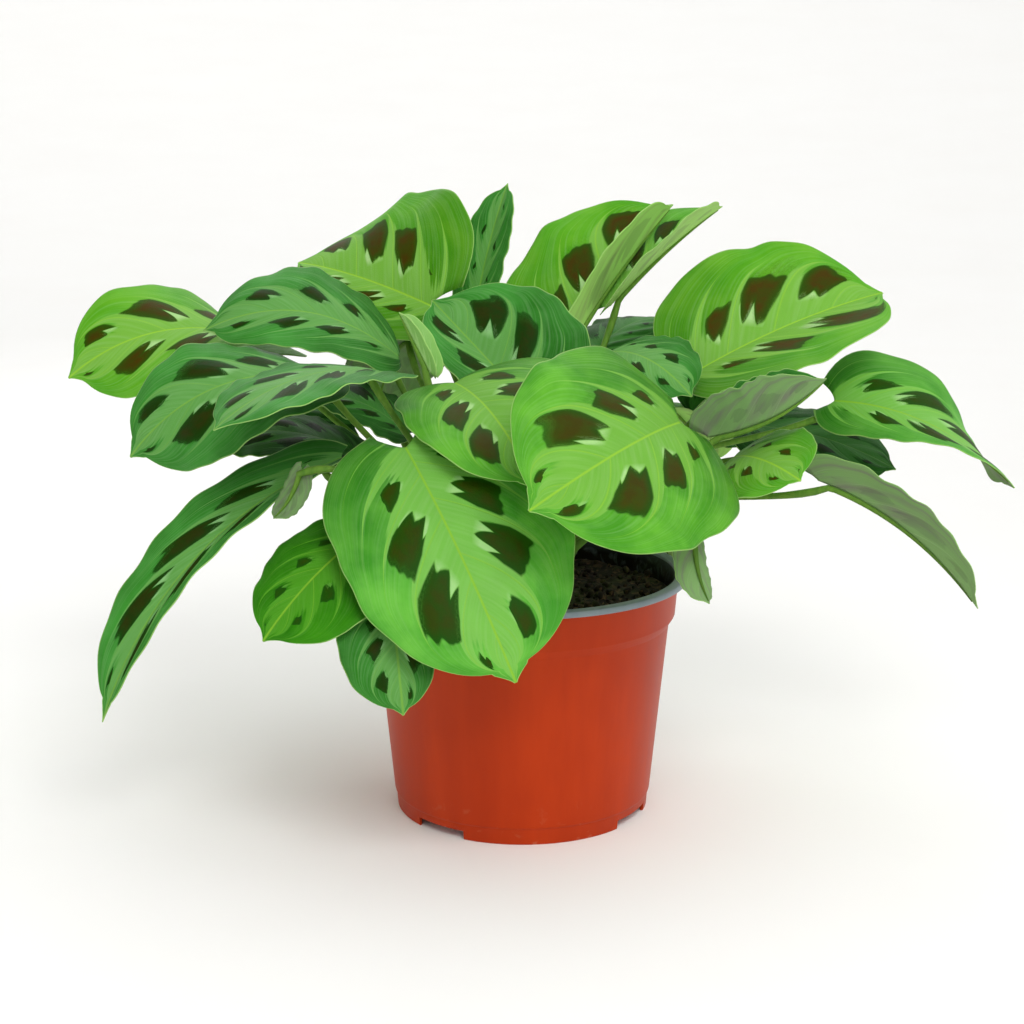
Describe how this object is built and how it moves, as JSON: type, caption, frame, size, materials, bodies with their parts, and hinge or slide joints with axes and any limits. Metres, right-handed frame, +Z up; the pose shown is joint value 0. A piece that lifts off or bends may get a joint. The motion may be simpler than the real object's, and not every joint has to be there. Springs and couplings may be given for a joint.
{
  "type": "potted prayer plant",
  "caption": "Low spreading prayer plant with broad oval leaves on slender stalks, rooted in dark soil in a round tapered plastic pot with a rolled lip and a notched foot ring.",
  "frame": {"origin": "on the pot's axis, at the surface that the pot stands on", "axes": "+Z up; +X to the right of a viewer who faces the plant; -Y towards that viewer"},
  "size_m": [0.3502, 0.2131, 0.2213],
  "materials": {
    "pot_plastic": "terracotta-coloured, softly shiny",
    "compost": "dark, crumbly and matt",
    "young_leaf": "fresh yellow-green, satin, with olive-brown blotches between the veins",
    "grown_leaf": "blue-green, satin, with dark blotches between the veins"
  },
  "bodies": {
    "root": {"pot": "pot_plastic", "soil": "compost", "leaf_front_large": "grown_leaf", "leaf_front_round": "grown_leaf", "leaf_centre": "grown_leaf", "leaf_centre_back": "grown_leaf", "leaf_furled": "young_leaf", "leaf_left_mid": "grown_leaf", "leaf_left_lower": "grown_leaf", "leaf_left_upper": "grown_leaf", "leaf_left_far": "young_leaf", "leaf_top_left": "young_leaf", "leaf_top_right": "young_leaf", "leaf_top_right_back": "grown_leaf", "leaf_top_spike": "grown_leaf", "leaf_right_top": "young_leaf", "leaf_right_far": "grown_leaf", "leaf_right_trailing": "grown_leaf", "leaf_right_pale": "grown_leaf", "leaf_right_small": "young_leaf", "leaf_right_behind": "grown_leaf", "leaf_right_mid": "grown_leaf", "leaf_centre_right": "grown_leaf", "leaf_right_high": "grown_leaf", "leaf_left_long": "grown_leaf", "leaf_left_behind": "grown_leaf", "leaf_left_inner": "grown_leaf", "leaf_left_droop": "grown_leaf", "leaf_low_left": "young_leaf", "leaf_low_front": "grown_leaf", "leaf_rim_right": "grown_leaf", "leaf_back_centre": "grown_leaf", "leaf_back_left": "grown_leaf", "leaf_back_far_left": "grown_leaf", "leaf_back_right": "grown_leaf", "leaf_back_low": "young_leaf", "leaf_back_low_right": "grown_leaf", "leaf_back_low_left": "grown_leaf", "leaf_back_far_right": "grown_leaf"}
  },
  "joints": []
}
